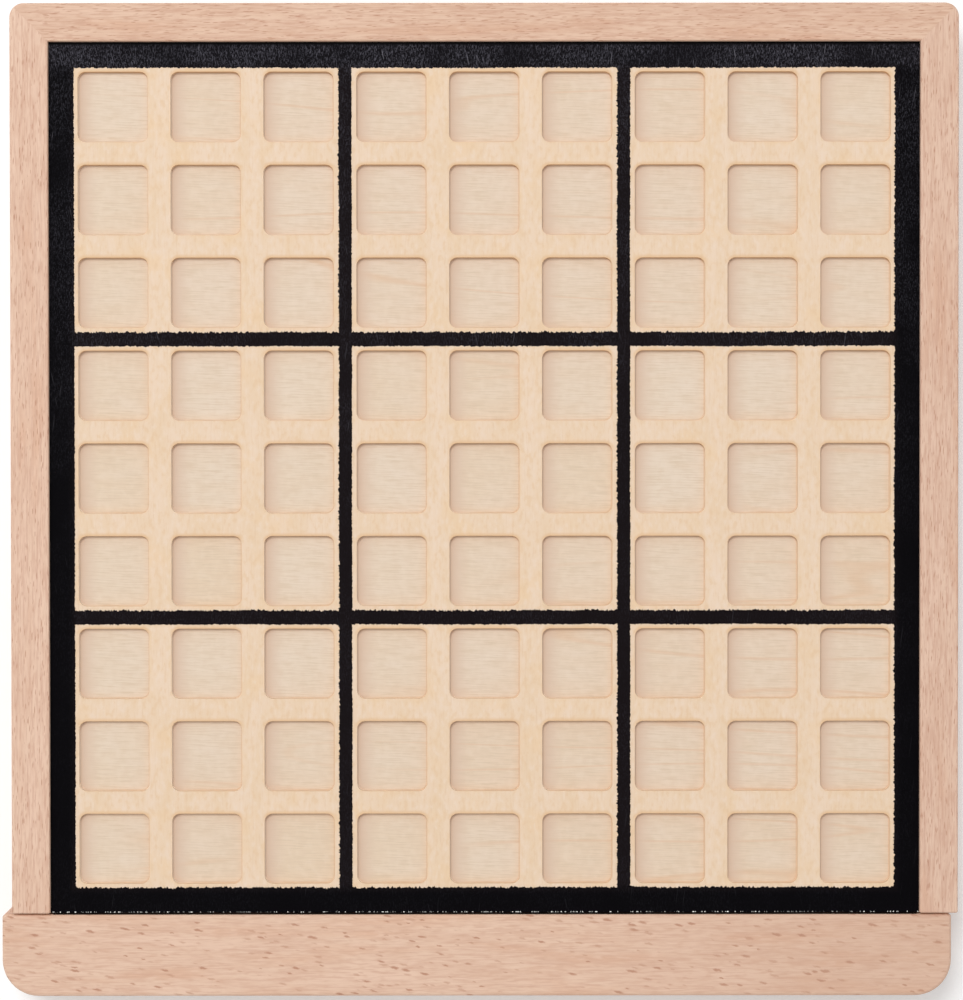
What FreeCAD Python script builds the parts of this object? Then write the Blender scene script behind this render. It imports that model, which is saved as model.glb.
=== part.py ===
import FreeCAD
import Part
import Sketcher
import math
import os

# A wooden sudoku board: a mitred frame of three rails holds a milled plywood board, and a drawer
# under the board keeps the number tiles. +X is to the player's right, +Y is away from the player,
# +Z is up. The origin is under the middle of the board, on the table.

# Every driving size in millimetres. The counts and shares have names that say so.
SIZES = {
    # Case
    "frame_width": 290.0,
    "frame_height": 30.0,
    "rail_width": 11.7,
    "corner_radius": 4.3,
    "edge_ease": 0.6,
    # Milled board and its printed lines
    "board_thickness": 5.0,
    "board_drop": 2.0,
    "board_setback": 0.5,
    "groove_depth": 4.0,
    "groove_play": 0.1,
    "side_border": 7.4,
    "back_border": 7.6,
    "front_border": 7.0,
    "line_width": 4.0,
    "ink_thickness": 0.1,
    "ink_setback": 0.4,
    "pocket_depth": 2.0,
    "pocket_radius": 2.5,
    "pocket_play": 0.75,
    # Base panel and the staples that hold it
    "base_thickness": 3.0,
    "base_rebate": 5.0,
    "base_play": 0.1,
    "staple_crown": 6.0,
    "staple_width": 1.2,
    "staple_gauge": 0.6,
    "staple_length": 12.0,
    "staple_play": 0.05,
    "staple_inset": 20.0,
    # Drawer front
    "front_oversize": 1.6,
    "front_offset": 2.5,
    "front_depth": 25.3,
    "front_gap": 0.4,
    "front_lift": 1.0,
    "front_corner_radius": 11.2,
    "front_back_radius": 1.2,
    "front_ease": 1.0,
    # Drawer box
    "box_wall": 5.0,
    "box_side_play": 0.6,
    "box_back_play": 2.0,
    "box_headroom": 0.8,
    "runner_play": 0.3,
    "socket_depth": 6.0,
    "joint_play": 0.1,
    "floor_thickness": 3.0,
    "floor_rebate": 2.5,
    "floor_tongue": 3.0,
    "back_rebate": 2.0,
    "divider_thickness": 3.0,
    "divider_drop": 1.9,
    "dado_depth": 1.5,
    # Number tiles
    "tile_size": 20.0,
    "tile_thickness": 5.0,
    "tile_radius": 2.2,
    # Smaller than any feature: tells one face or edge from another
    "hair": 0.01,
    # How far a repeated feature's volume may stray, as a share of one copy
    "volume_slack_share": 0.01,
    # Counts
    "blocks_across_count": 3,
    "cells_in_block_count": 3,
    "side_staples_count": 5,
    "back_staples_count": 4,
    "bays_across_count": 3,
    "tiles_in_row_count": 3,
    "pocket_chords_count": 3,
    "tile_chords_count": 1,
}

DOC = FreeCAD.newDocument("sudoku_board")
SHEET = DOC.addObject("Spreadsheet::Sheet", "Sizes")
for row, (alias, size) in enumerate(SIZES.items(), 1):
    SHEET.set(f"A{row}", alias)
    SHEET.set(f"B{row}", repr(size))
    SHEET.setAlias(f"B{row}", alias)
DOC.recompute()

# Case: where its faces lie
INSIDE_X = "(Sizes.frame_width / 2 - Sizes.rail_width)"
GRID_SIDE = f"(2 * {INSIDE_X} - 2 * Sizes.side_border)"
INSIDE_Y = f"({GRID_SIDE} / 2 + Sizes.back_border)"
BACK_Y = f"({INSIDE_Y} + Sizes.rail_width)"
BOARD_FRONT_Y = f"(-{GRID_SIDE} / 2 - Sizes.front_border)"
RAIL_FRONT_Y = f"({BOARD_FRONT_Y} - Sizes.board_setback)"
BOARD_TOP = "(Sizes.frame_height - Sizes.board_drop)"
BOARD_BOTTOM = f"({BOARD_TOP} - Sizes.board_thickness)"
GROOVE_X = f"({INSIDE_X} + Sizes.groove_depth)"
GROOVE_Y = f"({INSIDE_Y} + Sizes.groove_depth)"
REBATE_X = f"({INSIDE_X} + Sizes.base_rebate)"
REBATE_Y = f"({INSIDE_Y} + Sizes.base_rebate)"

# Board: pitch of the printed blocks and of the pockets, counted from the middle
BLOCK_PITCH = f"(({GRID_SIDE} + Sizes.line_width) / Sizes.blocks_across_count)"
CELL_PITCH = f"({BLOCK_PITCH} / Sizes.cells_in_block_count)"
CELLS_COUNT = "(Sizes.blocks_across_count * Sizes.cells_in_block_count)"
FIRST_CELL = f"(-({CELLS_COUNT} - 1) / 2 * {CELL_PITCH})"
FIRST_BLOCK = f"(-(Sizes.blocks_across_count - 1) / 2 * {BLOCK_PITCH})"
BLOCK_SIDE = f"({BLOCK_PITCH} - Sizes.line_width)"
POCKET_SIDE = "(Sizes.tile_size + 2 * Sizes.pocket_play)"

# Staples: their lines under the rails, and the pitch along each line
STAPLE_X = f"({INSIDE_X} + Sizes.base_rebate / 2)"
STAPLE_Y = f"({INSIDE_Y} + Sizes.base_rebate / 2)"
SIDE_STAPLE_Y = f"({RAIL_FRONT_Y} + Sizes.staple_inset)"
SIDE_STAPLE_RUN = f"({INSIDE_Y} - Sizes.staple_inset - {SIDE_STAPLE_Y})"
SIDE_STAPLES = (
    "Sizes.side_staples_count",
    f"({SIDE_STAPLE_RUN} / (Sizes.side_staples_count - 1))",
)
BACK_STAPLE_X = f"(-{INSIDE_X} + Sizes.staple_inset)"
BACK_STAPLES = (
    "Sizes.back_staples_count",
    f"(-2 * {BACK_STAPLE_X} / (Sizes.back_staples_count - 1))",
)
BOTH_SIDES = ("2", f"(2 * {STAPLE_X})")
# Name, first place, rows across and along, and whether the crown lies along Y
STAPLE_LINES = (
    ("side", f"-{STAPLE_X}", SIDE_STAPLE_Y, BOTH_SIDES, SIDE_STAPLES, True),
    ("back", BACK_STAPLE_X, STAPLE_Y, BACK_STAPLES, None, False),
)

# Drawer front
BAR_BACK_Y = f"({RAIL_FRONT_Y} - Sizes.front_gap)"
BAR_FRONT_Y = f"({BAR_BACK_Y} - Sizes.front_depth)"
BAR_LEFT = "(-(Sizes.frame_width + Sizes.front_oversize) / 2 - Sizes.front_offset)"
BAR_RIGHT = "((Sizes.frame_width + Sizes.front_oversize) / 2 - Sizes.front_offset)"
BAR_HEIGHT = f"({BOARD_TOP} - Sizes.front_lift)"

# Drawer box
BOX_X = f"({INSIDE_X} - Sizes.box_side_play)"
BOX_IN_X = f"({BOX_X} - Sizes.box_wall)"
BOX_BACK_Y = f"({INSIDE_Y} - Sizes.box_back_play)"
BOX_IN_Y = f"({BOX_BACK_Y} - Sizes.box_wall)"
BOX_BOTTOM = "(Sizes.base_thickness + Sizes.runner_play)"
BOX_TOP = f"({BOARD_BOTTOM} - Sizes.box_headroom)"
FLOOR_TOP = f"({BOX_BOTTOM} + Sizes.floor_thickness)"
WALL_HEIGHT = f"({BOX_TOP} - {FLOOR_TOP})"
DIVIDER_HEIGHT = f"({WALL_HEIGHT} - Sizes.divider_drop)"
BAY_PITCH_X = f"((2 * {BOX_IN_X} + Sizes.divider_thickness) / Sizes.bays_across_count)"
BAY_PITCH_Y = f"(({BOX_IN_Y} - {BAR_BACK_Y} + Sizes.divider_thickness) / Sizes.bays_across_count)"
BAY_X = f"({BAY_PITCH_X} - Sizes.divider_thickness)"
BAY_Y = f"({BAY_PITCH_Y} - Sizes.divider_thickness)"


def number(expression):
    """The value of an expression over the sheet."""
    value = SHEET.evalExpression(expression)
    return float(getattr(value, "Value", value))


def new_body(name):
    body = DOC.addObject("PartDesign::Body", name)
    body.Label = name
    return body


def new_sketch(body, name, height):
    """A sketch level with the table, at a height on its own body's XY plane."""
    sketch = body.newObject("Sketcher::SketchObject", name)
    plane = next(f for f in body.Origin.OriginFeatures if f.Role == "XY_Plane")
    sketch.AttachmentSupport = [(plane, "")]
    sketch.MapMode = "FlatFace"
    sketch.setExpression("AttachmentOffset.Base.z", height)
    return sketch


def size_constraint(kind, name, expression, *where):
    """A named size in a sketch, with the expression that it is bound to."""
    constraint = Sketcher.Constraint(kind, *where, number(expression))
    constraint.Name = name
    return constraint, expression


def draw_outline(sketch, corners):
    """A closed outline through corners (x, y) or (x, y, radius), each an expression.

    A construction point marks each corner, sharp sides meet at it, and a rounded corner is an
    arc tangent to the two sides that run through it.
    """
    total = len(corners)
    points = [FreeCAD.Vector(number(c[0]), number(c[1]), 0) for c in corners]
    starts, ends, rounds = list(points), list(points), {}
    for i, corner in enumerate(corners):
        if len(corner) > 2:
            neighbours = (points[i - 1], points[(i + 1) % total])
            rounds[i] = round_corner(points[i], *neighbours, number(corner[2]))
            ends[i], starts[i] = rounds[i][:2]
    lines = [Part.LineSegment(starts[i], ends[(i + 1) % total]) for i in range(total)]
    sketch.addGeometry(lines + [arc for _, _, arc, _ in rounds.values()], False)
    first_pin = sketch.GeometryCount
    sketch.addGeometry([Part.Point(point) for point in points], True)
    arc_places = {i: total + n for n, i in enumerate(rounds)}
    ties, sizes = [], []
    for i, corner in enumerate(corners):
        pin, before, after = first_pin + i, (i - 1) % total, i
        sizes.append(size_constraint("DistanceX", f"corner_{i + 1}_x", corner[0], -1, 1, pin, 1))
        sizes.append(size_constraint("DistanceY", f"corner_{i + 1}_y", corner[1], -1, 1, pin, 1))
        if i not in rounds:
            ties.append(Sketcher.Constraint("Coincident", before, 2, pin, 1))
            ties.append(Sketcher.Constraint("Coincident", after, 1, pin, 1))
            continue
        arc, left_turn = arc_places[i], rounds[i][3]
        at_before, at_after = (1, 2) if left_turn else (2, 1)
        ties.append(Sketcher.Constraint("PointOnObject", pin, 1, before))
        ties.append(Sketcher.Constraint("PointOnObject", pin, 1, after))
        ties.append(Sketcher.Constraint("Tangent", before, 2, arc, at_before))
        ties.append(Sketcher.Constraint("Tangent", arc, at_after, after, 1))
        sizes.append(size_constraint("Radius", f"corner_{i + 1}_radius", corner[2], arc))
    sketch.addConstraint(ties + [constraint for constraint, _ in sizes])
    for constraint, expression in sizes:
        sketch.setExpression(f"Constraints.{constraint.Name}", expression)


def round_corner(corner, before, after, radius):
    """Where a rounded corner leaves its two sides, its arc, and whether it turns left."""
    back = (before - corner).normalize()
    ahead = (after - corner).normalize()
    half = back.getAngle(ahead) / 2
    end = corner + back * (radius / math.tan(half))
    start = corner + ahead * (radius / math.tan(half))
    centre = corner + (back + ahead).normalize() * (radius / math.sin(half))
    left_turn = back.cross(ahead).z < 0
    first, last = (end, start) if left_turn else (start, end)
    turns = [math.atan2(point.y - centre.y, point.x - centre.x) for point in (first, last)]
    circle = Part.Circle(centre, FreeCAD.Vector(0, 0, 1), radius)
    return end, start, Part.ArcOfCircle(circle, *turns), left_turn


def rectangle(x_low, x_high, y_low, y_high):
    """Corners of a rectangle."""
    return [(x_low, y_low), (x_high, y_low), (x_high, y_high), (x_low, y_high)]


def square(x, y, side):
    """Corners of a square about a middle point."""
    half = f"{side} / 2"
    return rectangle(f"{x} - {half}", f"{x} + {half}", f"{y} - {half}", f"{y} + {half}")


def faceted_square(x, y, side, radius, chords):
    """Corners of a square with rounds made of a few chords each, for what repeats many times."""
    reach = f"({side} / 2 - {radius})"
    steps = int(number(chords))
    corners = []
    for quarter, (to_x, to_y) in enumerate(((1, 1), (-1, 1), (-1, -1), (1, -1))):
        for step in range(steps + 1):
            turn = (quarter + step / steps) * 90
            across = f"{x} + {to_x} * {reach} + {radius} * cos({turn} deg)"
            along = f"{y} + {to_y} * {reach} + {radius} * sin({turn} deg)"
            corners.append((across, along))
    return corners


def add_feature(body, kind, name, sketch, length):
    feature = body.newObject(kind, name)
    feature.Profile = sketch
    feature.setExpression("Length", length)
    body.Tip = feature
    return feature


def pad(body, name, corners, bottom, height):
    """Raise an outline from its bottom by a height."""
    sketch = new_sketch(body, f"{name}_outline", bottom)
    draw_outline(sketch, corners)
    return add_feature(body, "PartDesign::Pad", name, sketch, height)


def cut(body, name, corners, bottom, height):
    """Cut an outline upward from its bottom by a height, and make sure that it cuts something."""
    DOC.recompute()
    before = body.Shape.Volume
    sketch = new_sketch(body, f"{name}_outline", bottom)
    draw_outline(sketch, corners)
    pocket = add_feature(body, "PartDesign::Pocket", name, sketch, height)
    pocket.Reversed = True
    DOC.recompute()
    if not body.Shape.Volume < before:
        raise RuntimeError(f"{body.Label}: {name} cuts nothing")
    return pocket


def repeat(body, name, features, across, along=None, whole=False):
    """Repeat features, or the whole body, in a row or a grid.

    across and along are (count, pitch) along X and along Y, and either may be None.
    """
    DOC.recompute()
    pattern = body.newObject("PartDesign::LinearPattern", name)
    if whole:
        pattern.TransformMode = "Whole shape"
    else:
        pattern.Originals = features
    sketch = features[0].Profile[0]
    rows = [(axis, row) for axis, row in (("H_Axis", across), ("V_Axis", along)) if row]
    for suffix, (axis, (count, pitch)) in zip(("", "2"), rows):
        setattr(pattern, f"Direction{suffix}", (sketch, [axis]))
        setattr(pattern, f"Mode{suffix}", "Extent")
        pattern.setExpression(f"Occurrences{suffix}", count)
        pattern.setExpression(f"Length{suffix}", f"({count} - 1) * {pitch}")
    body.Tip = pattern
    DOC.recompute()
    copies = round(math.prod(number(count) for _, (count, _) in rows))
    check_copies(body, features, copies, whole)
    return pattern


def check_copies(body, features, copies, whole):
    """Compare a pattern's change in volume with that of the features that it repeats."""
    first, last = features[0].BaseFeature, features[-1].Shape.Volume
    single = last - (0 if whole or not first else first.Shape.Volume)
    change = body.Shape.Volume - (last if whole else last - single)
    expected = single * (copies - 1 if whole else copies)
    if abs(change - expected) > abs(single) * number("Sizes.volume_slack_share"):
        raise RuntimeError(f"{body.Label}: expected {copies} copies")


def ease(body, name, radius, wanted):
    """Round the edges of the body's tip for which wanted(box of the edge) is true."""
    DOC.recompute()
    tip = body.Tip
    names = [f"Edge{i}" for i, edge in enumerate(tip.Shape.Edges, 1) if wanted(edge.BoundBox)]
    if not names:
        raise RuntimeError(f"{body.Label}: {name} finds no edge")
    fillet = body.newObject("PartDesign::Fillet", name)
    fillet.Base = (tip, names)
    fillet.setExpression("Radius", radius)
    body.Tip = fillet
    DOC.recompute()
    return fillet


def near(value, expression):
    return abs(value - number(expression)) < number("Sizes.hair")


def level_edge(box, height):
    """Whether an edge lies flat at a height."""
    return near(box.ZMin, height) and near(box.ZMax, height)


def upright_edge(box, x, y):
    """Whether an edge stands upright at x and y."""
    return near(box.XMin, x) and near(box.XMax, x) and near(box.YMin, y) and near(box.YMax, y)


def staple_outlines(x, y, along_y, play):
    """Outlines of a staple's two legs and its crown about its middle, opened by a play."""
    half_width = f"(Sizes.staple_width / 2 + {play})"
    end = f"(Sizes.staple_crown / 2 + {play})"
    inner = f"(Sizes.staple_crown / 2 - Sizes.staple_gauge - {play})"
    outlines = []
    for low, high in ((f"-{end}", f"-{inner}"), (inner, end), (f"-{end}", end)):
        if along_y:
            box = (f"{x} - {half_width}", f"{x} + {half_width}", f"{y} + {low}", f"{y} + {high}")
        else:
            box = (f"{x} + {low}", f"{x} + {high}", f"{y} - {half_width}", f"{y} + {half_width}")
        outlines.append(rectangle(*box))
    return outlines


def staple_holes(body, x, y, across, along, along_y):
    """Holes in a rail for the staples' legs, over the base panel."""
    depth = "Sizes.staple_length - Sizes.base_thickness + Sizes.staple_play"
    legs = staple_outlines(x, y, along_y, "Sizes.staple_play")[:2]
    holes = [
        cut(body, f"leg_hole_{i}", leg, "Sizes.base_thickness", depth)
        for i, leg in enumerate(legs, 1)
    ]
    repeat(body, "leg_holes", holes, across, along)


def build_side_rail(name, side):
    """A side rail, mitred at the back. side is -1 on the left and 1 on the right."""
    body = new_body(name)
    outer, inner = f"{side} * Sizes.frame_width / 2", f"{side} * {INSIDE_X}"
    pad(body, "stock", rectangle(outer, inner, RAIL_FRONT_Y, BACK_Y), "0", "Sizes.frame_height")
    ease(body, "back_corner", "Sizes.corner_radius", lambda box: upright_edge(box, outer, BACK_Y))
    ease(
        body,
        "eased_edges",
        "Sizes.edge_ease",
        lambda box: level_edge(box, "0")
        or level_edge(box, "Sizes.frame_height")
        or upright_edge(box, outer, RAIL_FRONT_Y)
        or upright_edge(box, inner, RAIL_FRONT_Y),
    )
    groove = rectangle(inner, f"{side} * ({GROOVE_X} + Sizes.groove_play)", RAIL_FRONT_Y, BACK_Y)
    cut(body, "board_groove", groove, BOARD_BOTTOM, "Sizes.board_thickness + Sizes.groove_play")
    rebate = rectangle(inner, f"{side} * ({REBATE_X} + Sizes.base_play)", RAIL_FRONT_Y, BACK_Y)
    cut(body, "base_rebate", rebate, "0", "Sizes.base_thickness")
    staple_holes(body, f"{side} * {STAPLE_X}", SIDE_STAPLE_Y, None, SIDE_STAPLES, True)
    cut(body, "mitre", mitre_corners(side), "0", "Sizes.frame_height")
    return body


def mitre_corners(side):
    """Outline of what the back rail's end takes from a side rail's stock."""
    inner, beyond = f"{side} * {INSIDE_X}", f"({BACK_Y} + Sizes.rail_width)"
    outer = f"{side} * (Sizes.frame_width / 2 + Sizes.rail_width)"
    return [(inner, INSIDE_Y), (outer, beyond), (inner, beyond)]


def build_back_rail():
    """The back rail, mitred at both ends."""
    body = new_body("back_rail")
    left, right = "-Sizes.frame_width / 2", "Sizes.frame_width / 2"
    pad(body, "stock", rectangle(left, right, INSIDE_Y, BACK_Y), "0", "Sizes.frame_height")
    ease(
        body,
        "back_corners",
        "Sizes.corner_radius",
        lambda box: upright_edge(box, left, BACK_Y) or upright_edge(box, right, BACK_Y),
    )
    ease(
        body,
        "eased_edges",
        "Sizes.edge_ease",
        lambda box: level_edge(box, "0") or level_edge(box, "Sizes.frame_height"),
    )
    groove = rectangle(left, right, INSIDE_Y, f"{GROOVE_Y} + Sizes.groove_play")
    cut(body, "board_groove", groove, BOARD_BOTTOM, "Sizes.board_thickness + Sizes.groove_play")
    rebate = rectangle(left, right, INSIDE_Y, f"{REBATE_Y} + Sizes.base_play")
    cut(body, "base_rebate", rebate, "0", "Sizes.base_thickness")
    staple_holes(body, BACK_STAPLE_X, STAPLE_Y, BACK_STAPLES, None, False)
    for side, place in ((-1, "left"), (1, "right")):
        inner, beyond = f"{side} * {INSIDE_X}", f"({BACK_Y} + Sizes.rail_width)"
        outer = f"{side} * (Sizes.frame_width / 2 + Sizes.rail_width)"
        corners = [(inner, INSIDE_Y), (outer, beyond), (outer, INSIDE_Y)]
        cut(body, f"mitre_{place}", corners, "0", "Sizes.frame_height")
    return body


def build_base_panel():
    """The plywood base, let into rebates under the rails, with slots that sink the staples."""
    body = new_body("base_panel")
    panel = rectangle(f"-{REBATE_X}", REBATE_X, RAIL_FRONT_Y, REBATE_Y)
    pad(body, "panel", panel, "0", "Sizes.base_thickness")
    heights = ("Sizes.base_thickness", "Sizes.base_thickness", "Sizes.staple_gauge")
    for line, x, y, across, along, along_y in STAPLE_LINES:
        outlines = staple_outlines(x, y, along_y, "Sizes.staple_play")
        slots = [
            cut(body, f"{line}_slot_{i}", outline, "0", height)
            for i, (outline, height) in enumerate(zip(outlines, heights), 1)
        ]
        repeat(body, f"{line}_slots", slots, across, along)
    return body


def build_staples():
    """The staples up through the base panel: two rows at the sides and one at the back."""
    rows = []
    heights = ("Sizes.staple_length", "Sizes.staple_length", "Sizes.staple_gauge")
    for line, x, y, across, along, along_y in STAPLE_LINES:
        body = new_body(f"{line}_staples")
        left, right, crown = staple_outlines(x, y, along_y, "0")
        bent = [
            pad(body, "crown", crown, "0", heights[2]),
            pad(body, "leg_1", left, "0", heights[0]),
            pad(body, "leg_2", right, "0", heights[1]),
        ]
        repeat(body, "row", bent, across, along, whole=True)
        rows.append(body)
    staples = DOC.addObject("Part::Compound", "base_staples")
    staples.Label = "base_staples"
    staples.Links = rows
    return staples


def build_game_board():
    """The board: one plywood panel with a round-cornered pocket milled for every tile."""
    body = new_body("game_board")
    panel = rectangle(f"-{GROOVE_X}", GROOVE_X, BOARD_FRONT_Y, GROOVE_Y)
    pad(body, "panel", panel, BOARD_BOTTOM, "Sizes.board_thickness")
    radius, chords = "Sizes.pocket_radius", "Sizes.pocket_chords_count"
    pocket = faceted_square(FIRST_CELL, FIRST_CELL, POCKET_SIDE, radius, chords)
    floor = f"{BOARD_TOP} - Sizes.pocket_depth"
    first = cut(body, "pocket", pocket, floor, "Sizes.pocket_depth")
    cells = (CELLS_COUNT, CELL_PITCH)
    repeat(body, "pockets", [first], cells, cells)
    return body


def build_printed_grid():
    """The printed lines: a film of ink with a window over each block of cells."""
    body = new_body("printed_grid")
    film = rectangle(f"-{INSIDE_X}", INSIDE_X, f"{BOARD_FRONT_Y} + Sizes.ink_setback", INSIDE_Y)
    pad(body, "film", film, BOARD_TOP, "Sizes.ink_thickness")
    window = square(FIRST_BLOCK, FIRST_BLOCK, BLOCK_SIDE)
    first = cut(body, "window", window, BOARD_TOP, "Sizes.ink_thickness")
    blocks = ("Sizes.blocks_across_count", BLOCK_PITCH)
    repeat(body, "windows", [first], blocks, blocks)
    return body


def divider_lines(pitch, start):
    """Middle lines of the dividers that part the drawer's bays in one direction."""
    count = int(number("Sizes.bays_across_count"))
    return [f"({start} + {i} * {pitch} - Sizes.divider_thickness / 2)" for i in range(1, count)]


def divider_span(middle):
    """Both faces of a divider."""
    half = "Sizes.divider_thickness / 2"
    return f"{middle} - {half}", f"{middle} + {half}"


def dado_span(middle):
    """Both edges of a dado for a divider, with its play."""
    half = "Sizes.divider_thickness / 2 + Sizes.joint_play"
    return f"{middle} - ({half})", f"{middle} + {half}"


def build_drawer_front():
    """The thick front bar, with sockets for the sides and grooves for the floor and dividers."""
    body = new_body("drawer_front")
    front, back = "Sizes.front_corner_radius", "Sizes.front_back_radius"
    bar = [
        (BAR_LEFT, BAR_FRONT_Y, front),
        (BAR_RIGHT, BAR_FRONT_Y, front),
        (BAR_RIGHT, BAR_BACK_Y, back),
        (BAR_LEFT, BAR_BACK_Y, back),
    ]
    pad(body, "bar", bar, "Sizes.front_lift", BAR_HEIGHT)
    ease(
        body,
        "eased_edges",
        "Sizes.front_ease",
        lambda box: level_edge(box, "Sizes.front_lift") or level_edge(box, BOARD_TOP),
    )
    depth_y = f"{BAR_BACK_Y} - Sizes.socket_depth - Sizes.joint_play"
    height = f"{BOX_TOP} - {BOX_BOTTOM} + Sizes.joint_play"
    for side, place in ((-1, "left"), (1, "right")):
        near_x = f"{side} * ({BOX_IN_X} - Sizes.joint_play)"
        far_x = f"{side} * ({BOX_X} + Sizes.joint_play)"
        socket = rectangle(near_x, far_x, depth_y, BAR_BACK_Y)
        cut(body, f"socket_{place}", socket, BOX_BOTTOM, height)
    half = f"({BOX_IN_X} + Sizes.floor_rebate + Sizes.joint_play)"
    tongue_y = f"{BAR_BACK_Y} - Sizes.floor_tongue - Sizes.joint_play"
    groove = rectangle(f"-{half}", half, tongue_y, BAR_BACK_Y)
    cut(body, "floor_groove", groove, BOX_BOTTOM, "Sizes.floor_thickness + Sizes.joint_play")
    for i, middle in enumerate(divider_lines(BAY_PITCH_X, f"-{BOX_IN_X}"), 1):
        dado = rectangle(*dado_span(middle), f"{BAR_BACK_Y} - Sizes.dado_depth", BAR_BACK_Y)
        cut(body, f"dado_{i}", dado, FLOOR_TOP, f"{DIVIDER_HEIGHT} + Sizes.joint_play")
    return body


def build_drawer_side(name, side):
    """A side of the drawer box, rebated for the floor and the back and dadoed for the dividers."""
    body = new_body(name)
    outer, inner = f"{side} * {BOX_X}", f"{side} * {BOX_IN_X}"
    front = f"{BAR_BACK_Y} - Sizes.socket_depth"
    stock = rectangle(outer, inner, front, BOX_BACK_Y)
    pad(body, "stock", stock, BOX_BOTTOM, f"{BOX_TOP} - {BOX_BOTTOM}")
    floor_x = f"{side} * ({BOX_IN_X} + Sizes.floor_rebate + Sizes.joint_play)"
    rebate = rectangle(inner, floor_x, front, BOX_BACK_Y)
    cut(body, "floor_rebate", rebate, BOX_BOTTOM, "Sizes.floor_thickness")
    back_x = f"{side} * ({BOX_IN_X} + Sizes.back_rebate + Sizes.joint_play)"
    back = rectangle(inner, back_x, BOX_IN_Y, BOX_BACK_Y)
    cut(body, "back_rebate", back, FLOOR_TOP, WALL_HEIGHT)
    dado_x = f"{side} * ({BOX_IN_X} + Sizes.dado_depth)"
    for i, middle in enumerate(divider_lines(BAY_PITCH_Y, BAR_BACK_Y), 1):
        dado = rectangle(inner, dado_x, *dado_span(middle))
        cut(body, f"dado_{i}", dado, FLOOR_TOP, WALL_HEIGHT)
    return body


def build_drawer_back():
    body = new_body("drawer_back")
    half = f"({BOX_IN_X} + Sizes.back_rebate)"
    stock = rectangle(f"-{half}", half, BOX_IN_Y, BOX_BACK_Y)
    pad(body, "stock", stock, FLOOR_TOP, WALL_HEIGHT)
    for i, middle in enumerate(divider_lines(BAY_PITCH_X, f"-{BOX_IN_X}"), 1):
        dado = rectangle(*dado_span(middle), BOX_IN_Y, f"{BOX_IN_Y} + Sizes.dado_depth")
        cut(body, f"dado_{i}", dado, FLOOR_TOP, WALL_HEIGHT)
    return body


def build_drawer_floor():
    """The plywood floor, let into the sides and the front, and flush under the box."""
    body = new_body("drawer_floor")
    half = f"({BOX_IN_X} + Sizes.floor_rebate)"
    floor = rectangle(f"-{half}", half, f"{BAR_BACK_Y} - Sizes.floor_tongue", BOX_BACK_Y)
    pad(body, "floor", floor, BOX_BOTTOM, "Sizes.floor_thickness")
    return body


def build_dividers():
    """Thin strips that part the drawer into bays, halved over each other where they cross."""
    bodies = []
    columns = divider_lines(BAY_PITCH_X, f"-{BOX_IN_X}")
    rows = divider_lines(BAY_PITCH_Y, BAR_BACK_Y)
    reach = "Sizes.dado_depth - Sizes.joint_play"
    half_height = f"{DIVIDER_HEIGHT} / 2"
    for i, middle in enumerate(rows, 1):
        body = new_body(f"divider_across_{i}")
        low, high = divider_span(middle)
        strip = rectangle(f"-{BOX_IN_X} - ({reach})", f"{BOX_IN_X} + {reach}", low, high)
        pad(body, "strip", strip, FLOOR_TOP, DIVIDER_HEIGHT)
        for j, crossing in enumerate(columns, 1):
            slot = rectangle(*dado_span(crossing), low, high)
            cut(body, f"halving_{j}", slot, f"{FLOOR_TOP} + {half_height}", half_height)
        bodies.append(body)
    for i, middle in enumerate(columns, 1):
        body = new_body(f"divider_along_{i}")
        low, high = divider_span(middle)
        strip = rectangle(low, high, f"{BAR_BACK_Y} - ({reach})", f"{BOX_IN_Y} + {reach}")
        pad(body, "strip", strip, FLOOR_TOP, DIVIDER_HEIGHT)
        for j, crossing in enumerate(rows, 1):
            slot = rectangle(low, high, *dado_span(crossing))
            cut(body, f"halving_{j}", slot, FLOOR_TOP, half_height)
        bodies.append(body)
    return bodies


def build_tiles():
    """The number tiles, one node for each number: a set of loose tiles laid in rows in its bay.

    The bays are filled as a player reads them, from the back left to the front right.
    """
    bodies = []
    bays = int(number("Sizes.bays_across_count"))
    for row in range(bays):
        for column in range(bays):
            body = new_body(f"tiles_{row * bays + column + 1}")
            pitch_x = f"({BAY_X} / Sizes.tiles_in_row_count)"
            pitch_y = f"({BAY_Y} / Sizes.tiles_in_row_count)"
            x = f"(-{BOX_IN_X} + {column} * {BAY_PITCH_X} + {pitch_x} / 2)"
            y = f"({BAR_BACK_Y} + {bays - 1 - row} * {BAY_PITCH_Y} + {pitch_y} / 2)"
            radius, chords = "Sizes.tile_radius", "Sizes.tile_chords_count"
            outline = faceted_square(x, y, "Sizes.tile_size", radius, chords)
            tile = pad(body, "tile", outline, FLOOR_TOP, "Sizes.tile_thickness")
            count = "Sizes.tiles_in_row_count"
            repeat(body, "set", [tile], (count, pitch_x), (count, pitch_y), whole=True)
            bodies.append(body)
    return bodies


def build():
    nodes = [
        build_side_rail("side_rail_left", -1),
        build_side_rail("side_rail_right", 1),
        build_back_rail(),
        build_base_panel(),
        build_staples(),
        build_game_board(),
        build_printed_grid(),
        build_drawer_front(),
        build_drawer_side("drawer_side_left", -1),
        build_drawer_side("drawer_side_right", 1),
        build_drawer_back(),
        build_drawer_floor(),
        *build_dividers(),
        *build_tiles(),
    ]
    DOC.recompute()
    return nodes


def check(nodes):
    """Stop before anything is written if an object failed or a shape is not whole."""
    for item in DOC.Objects:
        if "Invalid" in item.State or "Error" in item.State:
            raise RuntimeError(f"{item.Label} failed: {item.State}")
    for node in nodes:
        if node.Shape.isNull() or not node.Shape.isValid() or not node.Shape.Solids:
            raise RuntimeError(f"{node.Label} has no valid solid")


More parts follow.
